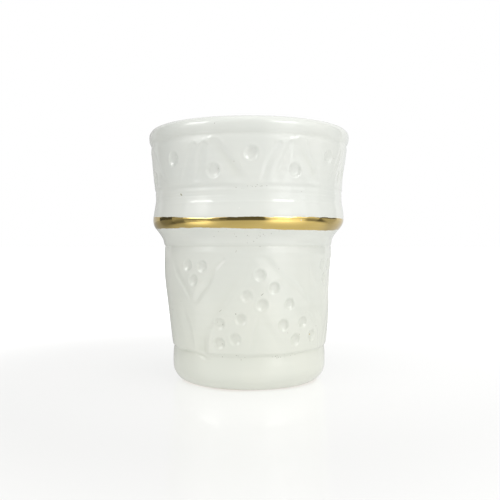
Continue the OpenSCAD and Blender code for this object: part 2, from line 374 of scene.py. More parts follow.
def ringLines(angle, z):
    angle = wrapped(angle)
    last, first, softness = ringCuts["footGap"]
    whole = smooth((angle - first) / softness) + smooth((last - angle) / softness)
    depth, halfWidth = ringCuts["foot"]
    footHeight = footGrooveHeight(angle)
    cut = depth * bell(z - footHeight, halfWidth) * whole
    depth, halfWidth = ringCuts["spur"]
    high, low, start, turn = ringCuts["spurHeights"]
    spurHeight = mix(high, low, smooth((angle - start) / turn))
    cut += depth * bell(z - spurHeight, halfWidth) * faded(angle, *ringCuts["spurEnds"])
    cut += shoulder(z, footHeight, *ringCuts["footShoulder"])
    cut += shoulder(z, cup["step"], *ringCuts["fieldShoulder"])
    depth, halfWidth = ringCuts["frieze"]
    light = patches(angle, ringCuts["friezeLight"])
    cut += depth * bell(z - friezeGrooveHeight(angle), halfWidth) * (1 - light)
    for height, halfWidth, depth in ringCuts["turned"]:
        cut += depth * bell(z - height - ringCuts["wander"] * np.sin(np.radians(angle + 30)), halfWidth)
    for height, halfWidth, *patch in ringCuts["ridges"]:
        ridge = bell(z - height - ringCuts["wander"] * np.sin(np.radians(2 * angle)), halfWidth)
        cut -= ridge * patches(angle, [patch])
    return cut


def friezeCut(angle, z, radius):
    cut = np.zeros(angle.shape)
    burrs = np.zeros(angle.shape)
    height, halfWidth = frieze["burr"]
    burrMiddle = frieze["top"] - frieze["burrDrop"]
    above = smooth(z - burrMiddle + 0.1)
    for (centre, _), tip, share in zip(frieze["dimples"][0::2], frieze["tipLeans"], frieze["shares"]):
        for top, foot, width, *shape in frieze["strokes"]:
            head = centre + top + tip
            path = [(head, frieze["top"]), (centre + foot, frieze["foot"])]
            cut = np.maximum(cut, share * gouged(angle, z, radius, path, width, *shape))
            across = np.radians(wrapped(angle - head)) * radius
            hoop = np.hypot(across, z - burrMiddle) - width / 2
            burrs = np.maximum(burrs, share * height * bell(hoop, halfWidth) * above)
    return cut * faded(z, *frieze["fades"]) - burrs


# Each panel's first and last seam, and its share of the depth
def panels():
    return zip(field["seams"][:-1], field["seams"][1:], field["seamShares"])


def movedToPanel(places, start, end):
    first, last = field["seams"][:2]
    return [(start + (angle - first) / (last - first) * (end - start), z) for angle, z in places]


def movedToSeam(places, start):
    return [(start + angle, z) for angle, z in places]


def fieldCut(angle, z, radius):
    cut = np.zeros(angle.shape)
    for start, end, share in panels():
        moved = [(movedToPanel(path, start, end), *shape) for path, *shape in field["panelStrokes"]]
        moved += [(movedToSeam(path, start), *shape) for path, *shape in field["dropStrokes"]]
        for stroke in moved:
            cut = np.maximum(cut, share * gouged(angle, z, radius, *stroke))
    return cut * faded(z, *field["fades"])


# Depth of all that was cut with a gouge or on the wheel
def grooves(angle, z):
    radius = wallRadius(z)
    drawn = (angle + hand["angle"] * uneven(11, angle, z, *hand["waves"]),
             z + hand["height"] * uneven(12, angle, z, *hand["waves"]), radius)
    return np.where(z > cup["bulge"], friezeCut(*drawn), fieldCut(*drawn)) + ringLines(angle, z)


def pressed(angle, z):
    marks = [(place, frieze["dimpleWidth"], frieze["dimpleDepth"]) for place in frieze["dimples"]]
    for start, end, _ in panels():
        dots = movedToPanel(field["dots"], start, end) + movedToSeam(field["dropDots"], start)
        marks += [(dot, field["dotWidth"], field["dotDepth"]) for dot in dots]
    radius = wallRadius(z)
    return sum(pressedDot(angle, z, radius, *mark) for mark in marks)


coat = {
    "around": 423,  # points round the cup
    "frontShare": 1.2,  # how much closer they stand on the photographed side
    "frontEnd": (95, 20),  # angle where that ends, and over how many degrees
    "backEvery": 3,  # hidden sides have every third row and every third point
    "plainStep": 0.7,  # mm between rows on plain wall
    # closer rows: first and last height, and mm between rows
    "steps": [(8.4, 11.4, 0.28), (11.4, 37.2, 0.37), (37.2, 37.9, 0.3), (37.9, 39.7, 0.16),
              (39.7, 41.2, 0.24), (52.2, 56.0, 0.26), (56.0, 58.4, 0.3), (58.4, 67.6, 0.42),
              (67.6, 70.4, 0.28), (70.4, 72.0, 0.36)],
    "thickness": 0.38,
    "footAngle": -70,  # where the coat ends on the rounded corner, in degrees below level
    "footWave": 4,
    "bead": (0.06, 1.2),  # where it ends: height in mm, and half width in rows
    "cornerRows": 8,
    "lipRows": 12,
    "lipDip": 0.1,
    "backRows": (4, 8),  # of the corner and the lip, on hidden sides
    "lap": 1.5,  # how far the coat runs down inside the lip, mm
    "lapWave": 0.7,
    # its thickness, rows and end, on the outside and on the hidden side
    "lapShape": (0.1, 5, -0.03),
    "backLap": (0.02, 2, -0.05),
    "outOfRound": 0.09,
    "dents": 0.03,
    # finger rings: depth, the height between them, and how their phase drifts
    "throwing": 0.012,
    "pitch": 2.7,
    "drift": (2, 0.31),
    # where the thrown wall leans to the left: height, half height, shift and narrowing in mm
    "leans": [(31.5, 7.5, 0.55, 0.1), (44.5, 4.0, 0.4, 0.04), (63.0, 6.0, 0.16, 0.1)],
}


# Angles of the points round the cup, closer together at the front
def pointAngles():
    fine = np.linspace(-180, 180, 7201)
    end, softness = coat["frontEnd"]
    crowding = 1 + coat["frontShare"] * smooth((end - np.abs(fine)) / softness)
    passed = np.concatenate([[0], np.cumsum((crowding[1:] + crowding[:-1]) / 2)])
    return np.interp(np.arange(coat["around"]) / coat["around"] * passed[-1], passed, fine)


turns = pointAngles()
backTurns = turns[::coat["backEvery"]]


# Small faults of the thrown wall. They go inwards only, so that the cup keeps its size
def throwing(angle, z):
    drift, rate = coat["drift"]
    fingers = np.sin(z * 2 * np.pi / coat["pitch"] + np.radians(angle) + drift * np.sin(z * rate))
    lean = 0
    for height, halfHeight, shift, loss in coat["leans"]:
        lean -= (shift * np.sin(np.radians(angle)) + loss) * bell(z - height, halfHeight)
    return (coat["outOfRound"] * (uneven(21, angle, z, 5, 60) - 1)
            + coat["dents"] * (uneven(22, angle, z, 16, 12) - 1)
            + coat["throwing"] * (fingers - 1) + lean)


def skinRadius(angle, z):
    return wallRadius(z) + throwing(angle, z)


def wallHeights():
    heights = [cup["corner"]]
    while heights[-1] < cup["lipMiddle"]:
        found = [step for low, high, step in coat["steps"] if low <= heights[-1] < high]
        heights.append(heights[-1] + (found[0] if found else coat["plainStep"]))
    heights[-1] = cup["lipMiddle"]
    return np.array(heights)


# Rows of the rounded foot corner from the coat's edge up, at a depth under the surface
def cornerRings(angle, depth, count, bead=(0, 1)):
    footLine = coat["footAngle"] + coat["footWave"] * uneven(31, angle, 0, 7, 50)
    width = cup["footRadius"] - cup["standRadius"]
    rows = []
    for i in range(count):
        t = np.radians(footLine * (1 - i / count))
        proud = bead[0] * bell(i - 1, bead[1]) - depth
        z = cup["corner"] + (cup["corner"] + proud) * np.sin(t)
        r = cup["standRadius"] + (width + proud) * np.cos(t)
        rows.append(ring(r + throwing(angle, z), angle, z))
    return rows


# Rows over the lip from outside to inside, at a depth under the surface
def lipRings(angle, depth, count):
    thrown = throwing(angle, cup["lipMiddle"])
    dip = coat["lipDip"] * (uneven(33, angle, 0, 4, 50) - 1)
    reach = cup["lipWall"] / 2 - depth
    rows = []
    for i in range(1, count + 1):
        t = math.pi * i / count
        r = cup["lipCentre"] + reach * math.cos(t)
        z = cup["lipMiddle"] + reach * math.sin(t)
        rows.append(ring(r + thrown * ease(1 - i / count), angle, z + dip * math.sin(t)))
    return rows


def lapRings(angle, proud, count, endProud):
    lap = coat["lap"] + coat["lapWave"] * uneven(32, angle, 0, 6, 50)
    rows = []
    for i in range(1, count + 1):
        z = cup["lipMiddle"] - lap * i / count
        stand = endProud if i == count else proud * smooth(i / 2)
        rows.append(ring(innerRadius(z) - stand, angle, z))
    return rows


# Largest neighbour of each grid point, so that a coarse skin stays behind the fine one
def widest(grid, rows, columns):
    result = grid
    for i in range(-rows, rows + 1):
        moved = grid[np.clip(np.arange(len(grid)) + i, 0, len(grid) - 1)]
        for j in range(-columns, columns + 1):
            result = np.maximum(result, np.roll(moved, j, axis=1))
    return result


heights = wallHeights()
gridAngle, gridZ = np.meshgrid(turns, heights)
grooveDepth = grooves(gridAngle, gridZ)
cutDepth = grooveDepth + pressed(gridAngle, gridZ)
wallSkin = skinRadius(gridAngle, gridZ)
backRows = np.append(np.arange(0, len(heights) - 1, coat["backEvery"]), len(heights) - 1)
backColumns = np.arange(0, coat["around"], coat["backEvery"])
behind = wallSkin - widest(cutDepth, coat["backEvery"], coat["backEvery"])
backSkin = behind[np.ix_(backRows, backColumns)]
backHeights = heights[backRows]
print("stage: relief of", len(heights), "rows worked out")


# Share of small cells that hold a pinhole: in lightly cut grooves, and dusted under the gold
pits = {
    "foot": [(-39, 3, 0.5), (-6, 6, 0.7), (21, 9, 0.55), (90, 12, 0.5), (150, 14, 0.5), (-110, 12, 0.5)],
    "frieze": [(1, 8, 0.9), (104, 9, 0.7), (-130, 12, 0.7)],
    "cove": [(0, 11, 0.25)],
    "coveHeight": (43.7, 1.4),
    "grooveHeight": 0.42,
    "anywhere": 0.0015,
}


def pitShare(angle, z):
    inFoot = patches(angle, pits["foot"]) * bell(z - footGrooveHeight(angle), pits["grooveHeight"])
    inFrieze = patches(angle, pits["frieze"]) * bell(z - friezeGrooveHeight(angle), pits["grooveHeight"])
    height, halfHeight = pits["coveHeight"]
    return pits["anywhere"] + inFoot + inFrieze + patches(angle, pits["cove"]) * bell(z - height, halfHeight)


# Hidden rows of the corner, the wall and the lip, at a depth
def backRings(depth):
    cornerRows, lipRows = coat["backRows"]
    wall = [ring(skin - depth, backTurns, z) for skin, z in zip(backSkin, backHeights)]
    return cornerRings(backTurns, depth, cornerRows) + wall + lipRings(backTurns, depth, lipRows)


# The dipped coat, from its edge above the foot, over the lip, to its lapped edge inside
def makeOuterCoat():
    front = cornerRings(turns, 0, coat["cornerRows"], coat["bead"])
    before = len(front)
    front += [ring(skin, turns, z) for skin, z in zip(wallSkin - cutDepth, heights)]
    front += lipRings(turns, 0, coat["lipRows"])
    front += lapRings(turns, *coat["lapShape"])
    after = len(front) - before - len(heights)
    blank = [np.zeros(coat["around"])]
    # Cut depths drive the glaze's darker, greener tint in the cuts, which is partly painted shade
    values = {key: blank * before + list(grid) + blank * after
              for key, grid in (("poolAndShade", grooveDepth), ("pits", pitShare(gridAngle, gridZ)))}
    back = backRings(coat["thickness"]) + lapRings(backTurns, *coat["backLap"])
    piece = makePiece("outerCoat", front + back[::-1], True, values, (0, len(front) - 1))
    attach(piece, "root")
    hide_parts("outer_glaze")
    return piece


inner = {
    "rows": (96, 16),  # down the wall and over the floor
    "backRows": (24, 6),
    "throwing": 0.05,  # depth of the finger rings, and the height between them
    "pitch": 3.4,
    "dents": 0.05,
    "fade": (2, 6),  # how far under the lip the rings start, and over what height they grow
    "hump": (0.35, 4),  # rise left at the centre of the floor, and its width
    "gap": 0.02,  # kept between the clay and each coat
}


# Section of the inside from the lip's lapped edge to the axis, at a distance under the surface
def innerSection(wallRows, floorRows, under):
    top = cup["lipMiddle"] - inner["gap"]
    heights = [mix(top, cup["floorTop"], i / wallRows) for i in range(wallRows + 1)]
    section = [(innerRadius(z) + under, z) for z in heights]
    centre = cup["footRadius"] - cup["wall"] - cup["floorCorner"]
    reach = cup["floorCorner"] + under
    for i in range(1, floorRows + 1):
        t = math.radians(90 * i / floorRows)
        section.append((centre + reach * math.cos(t), cup["floorTop"] - reach * math.sin(t)))
    return section + [(centre * (1 - i / floorRows), cup["floor"] - under) for i in range(1, floorRows)]


def makeInnerCoat():
    front = []
    start, growth = inner["fade"]
    rise, width = inner["hump"]
    for r, z in innerSection(*inner["rows"], 0):
        spiral = inner["throwing"] * np.sin((z - 0.5 * r) * 2 * np.pi / inner["pitch"] + np.radians(turns))
        dents = inner["dents"] * uneven(41, turns, z, 6, 30)
        thrown = (spiral + dents) * smooth((cup["lipMiddle"] - start - z) / growth)
        hump = rise * bell(r, width) if z < cup["floor"] + 1 else 0
        wall = smooth((z - cup["floor"]) / cup["floorCorner"])
        front.append(ring(r - thrown * wall, turns, z + thrown * (1 - wall) + hump))
    under = cup["glaze"] - inner["gap"]
    poles = [ring(0, pole, cup["floor"] + rise), ring(0, pole, cup["floor"] - under)]
    back = [ring(r, backTurns, z) for r, z in innerSection(*inner["backRows"], under)]
    piece = makePiece("innerCoat", front + poles + back[::-1], True, None, (0,))
    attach(piece, "root")
    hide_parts("inner_glaze")
    return piece


foot = {
    # rows of the recess's ceiling and wall, then of the resting ring's rounding, face and outer corner
    "rows": (8, 4, 5, 14, 11),
    "edge": 0.4,  # rounding of the resting ring, mm
    "turning": 0.03,  # depth of the lines left by the turning tool, and their fineness and share
    "lines": [(9.5, 0.6), (23.0, 0.4)],
    "chatter": 0.02,
    "tuck": (0.1, 0.05, 0.4),  # how far the clay lies behind the coat's edge, from a height, and over which
    # corner between that ceiling and wall: how far in, and how far down
    "corner": [(0.5, 0), (0.15, 0.1), (0, 0.45)],
    "coatEdge": 0.5,  # how far the brushed coat stops short of the ring
    "coatWave": 0.35,
    "coatRows": 32,
    "coatBead": (0.12, 0.96, 0.03),  # height, then place and half width as shares of the radius
    "coatRounding": (0.32, 24),  # of the edge: height and sharpness
    "coatLift": 0.1,  # of the coat's face over the recess, so that brush marks stay inside
    "brush": 0.05,
}


# Section of the underside of the clay, from the axis over the resting ring to the coat's edge
def footSection():
    outer = cup["standRadius"]
    innerEdge = outer - cup["standWidth"]
    ceiling = cup["recess"] + cup["glaze"] + inner["gap"]
    ceilingRows, wallRows, edgeRows, faceRows, cornerRows = foot["rows"]
    section = [(innerEdge * i / ceilingRows, ceiling) for i in range(1, ceilingRows)]
    section += [(innerEdge - short, ceiling - drop) for short, drop in foot["corner"]]
    high, edge = section[-1][1], foot["edge"]
    section += [(innerEdge, mix(high, edge, i / wallRows)) for i in range(1, wallRows + 1)]
    for i in range(1, edgeRows):
        t = math.radians(90 * i / edgeRows)
        section.append((innerEdge + edge * (1 - math.cos(t)), edge * (1 - math.sin(t))))
    flat = cup["standWidth"] - edge
    section += [(innerEdge + edge + flat * i / faceRows, 0) for i in range(faceRows + 1)]
    width = cup["footRadius"] - outer
    for i in range(1, cornerRows + 1):
        t = math.radians(-90 + (90 + coat["footAngle"]) * i / cornerRows)
        section.append((outer + width * math.cos(t), cup["corner"] * (1 + math.sin(t))))
    return section


def makeClayBody():
    rows = [ring(0, pole, cup["recess"] + cup["glaze"] + inner["gap"])]
    most, start, growth = foot["tuck"]
    for r, z in footSection():
        lines = sum(share * math.sin(r * fineness) for fineness, share in foot["lines"])
        chatter = uneven(51, backTurns, r * 3, 40, 2) * foot["chatter"]
        rise = foot["turning"] * (1 + lines) / 2 + (chatter + foot["chatter"]) / 2
        tuck = most * smooth((z - start) / growth) * (r > cup["standRadius"])
        rows.append(ring(r - tuck, backTurns, z + rise + tuck))
    rows += backRings(coat["thickness"] + inner["gap"])[1:]
    section = innerSection(*inner["backRows"], cup["glaze"])
    rows += [ring(r, backTurns, z) for r, z in section[1:]]
    rows.append(ring(0, pole, cup["floor"] - cup["glaze"]))
    piece = makePiece("clayBody", rows, False)
    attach(piece, "root")
    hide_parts("clay_body")
    return piece


def makeFootCoat():
    reach = cup["standRadius"] - cup["standWidth"] - foot["coatEdge"]
    edge = reach + foot["coatWave"] * uneven(61, turns, 0, 9, 50)
    face = cup["recess"] + foot["coatLift"]
    height, beadPlace, beadWidth = foot["coatBead"]
    most, sharpness = foot["coatRounding"]
    rows = [ring(0, pole, face)]
    for share in np.arange(1, foot["coatRows"] + 1) / foot["coatRows"]:
        r = edge * share
        brush = foot["brush"] * uneven(62, turns, 0.35 * r * np.sin(np.radians(turns)), 5, 3)
        bead = height * bell(share - beadPlace, beadWidth)
        rounding = most * (1 - math.sqrt(1 - share ** sharpness))
        rows.append(ring(r, turns, face + brush - bead * (1 - rounding) + rounding))
    top = cup["recess"] + cup["glaze"]
    rows += [ring(edge * share, turns, top) for share in (1, 0.5)]
    rows.append(ring(0, pole, top))
    piece = makePiece("footCoat", rows, False, None, (len(rows) - 3,))
    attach(piece, "root")
    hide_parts("foot_glaze")
    return piece


# The painted band. Its edges waver, and the brush overlaps its own start at the back
gold = {
    "topEdge": [(-180, 48.9), (-150, 49.3), (-110, 49.5), (-78.9, 49.6), (-51.3, 49.2), (-39, 48.9),
                 (-24.4, 48.5), (-12.6, 48.7), (0.5, 48.9), (11, 48.75), (34.6, 48.95), (51.3, 48.98),
                 (72.2, 49.05), (110, 49.0), (150, 48.6), (160, 49.2), (180, 48.9)],
    "footEdge": [(-180, 45.5), (-150, 45.8), (-110, 45.7), (-73.7, 45.8), (-47.5, 45.8), (-28.2, 45.8),
                 (-12.0, 45.7), (-2.0, 45.45), (10.5, 45.4), (20, 45.22), (36, 45.15), (55, 45.17),
                 (62, 45.3), (75, 45.6), (120, 45.7), (156, 45.6), (162, 45.1), (180, 45.5)],
    "thickness": 0.05,
    "edgeWidth": 0.14,
    "buried": 0.04,
    "waver": 0.07,
    # shares of the width where its rows lie: close at the edges, and at the buried back
    "shares": [0, 0.02, *np.linspace(0.06, 0.94, 16), 0.98, 1],
    "backShares": [1, 0.75, 0.5, 0.25, 0],
}


def makeGoldBand():
    low, high = [np.interp(turns, *zip(*gold[edge])) + gold["waver"] * uneven(seed, turns, 0, 40, 50)
                 for edge, seed in (("footEdge", 71), ("topEdge", 72))]
    front, cover = [], []
    for share in gold["shares"]:
        z = mix(low, high, share)
        inward = np.minimum(z - low, high - z)
        stand = mix(-gold["buried"], gold["thickness"], smooth(inward / gold["edgeWidth"]))
        front.append(ring(skinRadius(turns, z) - grooves(turns, z) + stand, turns, z))
        cover.append(inward)
    back = []
    for share in gold["backShares"]:
        z = mix(low, high, share)
        back.append(ring(skinRadius(turns, z) - 3 * gold["buried"], turns, z))
    piece = makePiece("goldBand", front + back, True, {"cover": cover}, (0, len(front) - 1))
    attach(piece, "root")
    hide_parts("gold_band")
    return piece


outerCoat = makeOuterCoat()
innerCoat = makeInnerCoat()
clayBody = makeClayBody()
footCoat = makeFootCoat()
goldBand = makeGoldBand()


def feed(tree, node, inputs):
    for key, value in inputs.items():
        if isinstance(value, bpy.types.NodeSocket):
            tree.links.new(value, node.inputs[key])
        else:
            node.inputs[key].default_value = value


def addNode(tree, kind, inputs=None, **settings):
    node = tree.nodes.new(kind)
    for key, value in settings.items():
        setattr(node, key, value)
    feed(tree, node, inputs or {})
    return node


def addMath(tree, operation, *values):
    return addNode(tree, "ShaderNodeMath", dict(enumerate(values)), operation=operation).outputs[0]


def times(tree, a, b):
    return addMath(tree, "MULTIPLY", a, b)


def addMix(tree, factor, a, b, blend="MIX"):
    inputs = {0: factor, 6: a, 7: b}
    return addNode(tree, "ShaderNodeMix", inputs, data_type="RGBA", blend_type=blend).outputs[2]


def stained(tree, colour, mask, strength, tint):
    return addMix(tree, times(tree, mask, strength), colour, tint)


def addFloatMix(tree, factor, a, b):
    return addNode(tree, "ShaderNodeMix", {0: factor, 2: a, 3: b}, data_type="FLOAT").outputs[0]


def addRange(tree, value, low, high, toLow=0.0, toHigh=1.0):
    inputs = {"Value": value, "From Min": low, "From Max": high, "To Min": toLow, "To Max": toHigh}
    return addNode(tree, "ShaderNodeMapRange", inputs, interpolation_type="SMOOTHSTEP").outputs[0]


# Grows with a value, between two limits
def addSlope(tree, value, slope, start, low, high):
    inputs = {"Value": addMath(tree, "MULTIPLY_ADD", value, slope, start), "Min": low, "Max": high}
    return addNode(tree, "ShaderNodeClamp", inputs).outputs[0]


def addNoise(tree, place, scale, detail):
    inputs = {"Vector": place, "Scale": scale, "Detail": detail}
    return addNode(tree, "ShaderNodeTexNoise", inputs).outputs["Fac"]


def addPlace(tree):
    return addNode(tree, "ShaderNodeTexCoord").outputs["Object"]


def addAxes(tree, place):
    return addNode(tree, "ShaderNodeSeparateXYZ", {"Vector": place}).outputs


def addLength(tree, place):
    return addNode(tree, "ShaderNodeVectorMath", {0: place}, operation="LENGTH").outputs["Value"]


def addAttribute(tree, name):
    return addNode(tree, "ShaderNodeAttribute", attribute_name=name).outputs["Fac"]


def addBump(tree, strength, height):
    inputs = {"Strength": strength, "Distance": 0.1 * mm, "Height": height}
    return addNode(tree, "ShaderNodeBump", inputs).outputs[0]


def addGroup(tree, group, inputs):
    return addNode(tree, "ShaderNodeGroup", inputs, node_tree=group).outputs[0]


# A group whose one output is what build makes of its inputs and the place on the object
def newGroup(name, output, inputs, build):
    group = bpy.data.node_groups.new(name, "ShaderNodeTree")
    for label, value in inputs.items():
        kind = "NodeSocketVector" if isinstance(value, tuple) else "NodeSocketFloat"
        group.interface.new_socket(label, in_out="INPUT", socket_type=kind).default_value = value
    group.interface.new_socket(output, in_out="OUTPUT", socket_type="NodeSocketFloat")
    given = group.nodes.new("NodeGroupInput").outputs
    result = group.nodes.new("NodeGroupOutput").inputs[output]
    group.links.new(build(group, given, addPlace(group)), result)
    return group


# Slow change of tone over a surface, as a value round a half
def unevenTone(group, given, place):
    return addRange(group, addNoise(group, place, given["Scale"], given["Detail"]), 0.3, 0.7)


# Small round holes or specks, one in some cells of a loose grid
def looseSpecks(group, given, place):
    cells = addNode(group, "ShaderNodeTexVoronoi", {"Vector": place, "Scale": given["Scale"]}).outputs
    chance = addNode(group, "ShaderNodeSeparateColor", {"Color": cells["Color"]}).outputs[0]
    chosen = addMath(group, "LESS_THAN", chance, given["Share"])
    inside = addMath(group, "SUBTRACT", given["Size"], cells["Distance"])
    edge = addMath(group, "DIVIDE", inside, given["Size"])
    return times(group, chosen, addRange(group, edge, 0.0, 0.4))


# One mark at a place on the wall: a soft-edged ellipse that may be turned
def oneMark(group, given, place):
    inputs = {"Vector": place, "Location": given["Place"], "Rotation": given["Turn"], "Scale": given["Size"]}
    local = addNode(group, "ShaderNodeMapping", inputs, vector_type="TEXTURE").outputs[0]
    ragged = times(group, addNoise(group, place, 2600.0, 2.0), 0.5)
    return addRange(group, addMath(group, "ADD", addLength(group, local), ragged), 1.25, 0.85)


# Fine unevenness of a surface, as a height
def fineGrain(group, given, place):
    ripple = times(group, addNoise(group, place, given["Ripple Scale"], 1.0), given["Ripple"])
    return addMath(group, "ADD", addNoise(group, place, given["Scale"], 3.0), ripple)


toneGroup = newGroup("unevenTone", "Tone", {"Scale": 60.0, "Detail": 3.0}, unevenTone)
speckGroup = newGroup("specks", "Mask", {"Scale": 1000.0, "Size": 0.2, "Share": 0.5}, looseSpecks)
markGroup = newGroup("mark", "Mask", {"Place": (0, 0, 0), "Turn": (0, 0, 0), "Size": (1, 1, 1)}, oneMark)
grainGroup = newGroup("grain", "Height", {"Scale": 800.0, "Ripple Scale": 120.0, "Ripple": 0.5}, fineGrain)


def clearedTree(owner):
    owner.use_nodes = True
    owner.node_tree.nodes.clear()
    return owner.node_tree


def newMaterial(name):
    material = bpy.data.materials.new(name)
    tree = clearedTree(material)
    shader = addNode(tree, "ShaderNodeBsdfPrincipled")
    addNode(tree, "ShaderNodeOutputMaterial", {"Surface": shader.outputs[0]})
    return material, tree, shader


glaze = {
    "colour": (0.80, 0.815, 0.765, 1),
    "cool": (0.775, 0.795, 0.75, 1),
    "footTint": (0.985, 0.985, 0.94, 1),  # the glaze is warmer towards the foot
    "tintReach": (0.06, 0.005),  # heights between which that grows, m
    # Darker, greener glaze in the deeper cuts: partly the glaze lying thicker there, partly painted shade in
    # the recesses
    "poolAndShade": (0.66, 0.685, 0.585, 1),
    "poolAndShadeReach": (0.12, 0.7, 0.0, 0.5),  # cut depths between which it grows, and its shares there
    "hole": (0.16, 0.13, 0.08, 1),
    "roughness": (0.025, 0.06),
    "orangePeel": 0.035,
    # angle, height, half width, half height in mm, tilt in degrees, colour, strength
    "marks": [
        (-41.2, 55.2, 0.6, 0.26, 38, (0.30, 0.27, 0.14, 1), 0.8),
        (-5.0, 51.1, 0.22, 0.16, 0, (0.98, 0.97, 0.93, 1), 0.6),
        (8.4, 27.5, 0.62, 0.09, -42, (0.20, 0.18, 0.13, 1), 0.7),
        (-7.8, 39.4, 0.48, 0.10, -65, (0.36, 0.35, 0.28, 1), 0.5),
        (47.9, 15.3, 0.34, 0.26, 20, (0.52, 0.36, 0.08, 1), 0.75),
        (-8.4, 22.1, 0.20, 0.15, 0, (0.20, 0.18, 0.12, 1), 0.7),
        (-7.8, 63.6, 0.16, 0.14, 0, (0.30, 0.24, 0.14, 1), 0.5),
        (-18.6, 22.9, 0.75, 0.12, -38, (0.40, 0.40, 0.30, 1), 0.5),
        (-17.6, 19.0, 0.26, 0.30, 0, (0.3, 0.29, 0.21, 1), 0.35),
        (-18.4, 13.5, 0.24, 0.22, 0, (0.3, 0.29, 0.21, 1), 0.35),
        (-21.3, 19.6, 0.16, 0.22, 0, (0.36, 0.34, 0.26, 1), 0.3),
    ],
}


def addMarks(tree, colour):
    for angle, height, halfWidth, halfHeight, tilt, tint, strength in glaze["marks"]:
        mask = addGroup(tree, markGroup, {
            "Place": ring(wallRadius(np.array(height)), angle, height).tolist(),
            "Turn": (0, math.radians(tilt), math.radians(angle)),
            "Size": (halfWidth * mm, 3 * mm, halfHeight * mm)})
        colour = stained(tree, colour, mask, strength, tint)
    return colour


def glazeSurface(name, carved):
    material, tree, shader = newMaterial(name)
    tone = addGroup(tree, toneGroup, {"Scale": 70.0, "Detail": 3.0})
    colour = addMix(tree, tone, glaze["cool"], glaze["colour"])
    lowness = addRange(tree, addAxes(tree, addPlace(tree))["Z"], *glaze["tintReach"])
    tint = addMix(tree, lowness, (1, 1, 1, 1), glaze["footTint"])
    colour = addMix(tree, 1.0, colour, tint, "MULTIPLY")
    relief = addGroup(tree, grainGroup, {"Scale": 900.0, "Ripple Scale": 160.0, "Ripple": 0.8})
    if carved:
        # Deeper cuts get a darker, greener tint: thicker glaze and painted shade in the recesses
        poolAndShade = addRange(tree, addAttribute(tree, "poolAndShade"), *glaze["poolAndShadeReach"])
        colour = addMix(tree, poolAndShade, colour, glaze["poolAndShade"])
        share = addAttribute(tree, "pits")
        holes = addGroup(tree, speckGroup, {"Scale": 2300.0, "Size": 0.34, "Share": share})
        colour = addMarks(tree, stained(tree, colour, holes, 0.55, glaze["hole"]))
        relief = addMath(tree, "SUBTRACT", relief, times(tree, holes, 3.0))
    else:
        specks = addGroup(tree, speckGroup, {"Scale": 160.0, "Size": 0.035, "Share": 0.12})
        colour = stained(tree, colour, specks, 0.6, glaze["hole"])
    roughTone = addGroup(tree, toneGroup, {"Scale": 240.0, "Detail": 2.0})
    feed(tree, shader, {
        "Base Color": colour, "Roughness": addRange(tree, roughTone, 0.0, 1.0, *glaze["roughness"]),
        "Normal": addBump(tree, glaze["orangePeel"], relief), "IOR": 1.52})
    return material


lustre = {
    "colour": (0.84, 0.635, 0.215, 1),
    "deep": (0.76, 0.55, 0.165, 1),
    "roughness": (0.04, 0.09),
    "ragged": -0.3,  # how far noise eats into the edges, mm
    "worn": (-0.13, -0.01),  # mm from the edge between which the lustre grows whole
}


def lustreSurface():
    material, tree, shader = newMaterial("goldLustre")
    place = addPlace(tree)
    brushed = addNode(tree, "ShaderNodeMapping", {"Vector": place, "Scale": (60, 60, 1700)}).outputs[0]
    streaks = addNoise(tree, brushed, 1.0, 4.0)
    streak = addRange(tree, streaks, 0.35, 0.65)
    tone = addGroup(tree, toneGroup, {"Scale": 110.0, "Detail": 3.0})
    colour = stained(tree, lustre["colour"], streak, 0.5, lustre["deep"])
    colour = stained(tree, colour, tone, 0.25, lustre["deep"])
    eaten = times(tree, addNoise(tree, place, 900.0, 4.0), lustre["ragged"])
    depth = addMath(tree, "ADD", addAttribute(tree, "cover"), eaten)
    pits = addGroup(tree, speckGroup, {"Scale": 700.0, "Size": 0.16, "Share": 0.1})
    spared = addMath(tree, "SUBTRACT", 1.0, times(tree, pits, 0.6))
    whole = times(tree, addRange(tree, depth, *lustre["worn"]), spared)
    grain = addGroup(tree, grainGroup, {"Scale": 1400.0, "Ripple Scale": 200.0, "Ripple": 1.0})
    height = addMath(tree, "ADD", grain, streaks)
    feed(tree, shader, {
        "Base Color": addMix(tree, whole, glaze["colour"], colour), "Metallic": whole,
        "Roughness": addRange(tree, streak, 0.0, 1.0, *lustre["roughness"]),
        "Coat Weight": 0.5, "Coat Roughness": 0.03, "Normal": addBump(tree, 0.035, height)})
    return material


bisque = {
    "colour": (0.66, 0.575, 0.44, 1),
    "dark": (0.50, 0.41, 0.29, 1),
    "speck": (0.20, 0.13, 0.08, 1),
    "roughness": (0.7, 0.9),
}


def bisqueSurface():
    material, tree, shader = newMaterial("bareClay")
    tone = addGroup(tree, toneGroup, {"Scale": 320.0, "Detail": 5.0})
    specks = addGroup(tree, speckGroup, {"Scale": 900.0, "Size": 0.2, "Share": 0.14})
    colour = stained(tree, bisque["colour"], tone, 0.5, bisque["dark"])
    colour = stained(tree, colour, specks, 0.5, bisque["speck"])
    grain = addGroup(tree, grainGroup, {"Scale": 3000.0, "Ripple Scale": 700.0, "Ripple": 1.0})
    roughTone = addGroup(tree, toneGroup, {"Scale": 600.0, "Detail": 2.0})
    feed(tree, shader, {
        "Base Color": colour, "Roughness": addRange(tree, roughTone, 0.0, 1.0, *bisque["roughness"]),
        "Normal": addBump(tree, 0.5, grain)})
    return material


glazedInside = glazeSurface("whiteGlazeInside", False)
outerCoat.data.materials.append(glazeSurface("whiteGlazeOutside", True))
innerCoat.data.materials.append(glazedInside)
footCoat.data.materials.append(glazedInside)
goldBand.data.materials.append(lustreSurface())
clayBody.data.materials.append(bisqueSurface())
print("stage: materials made")


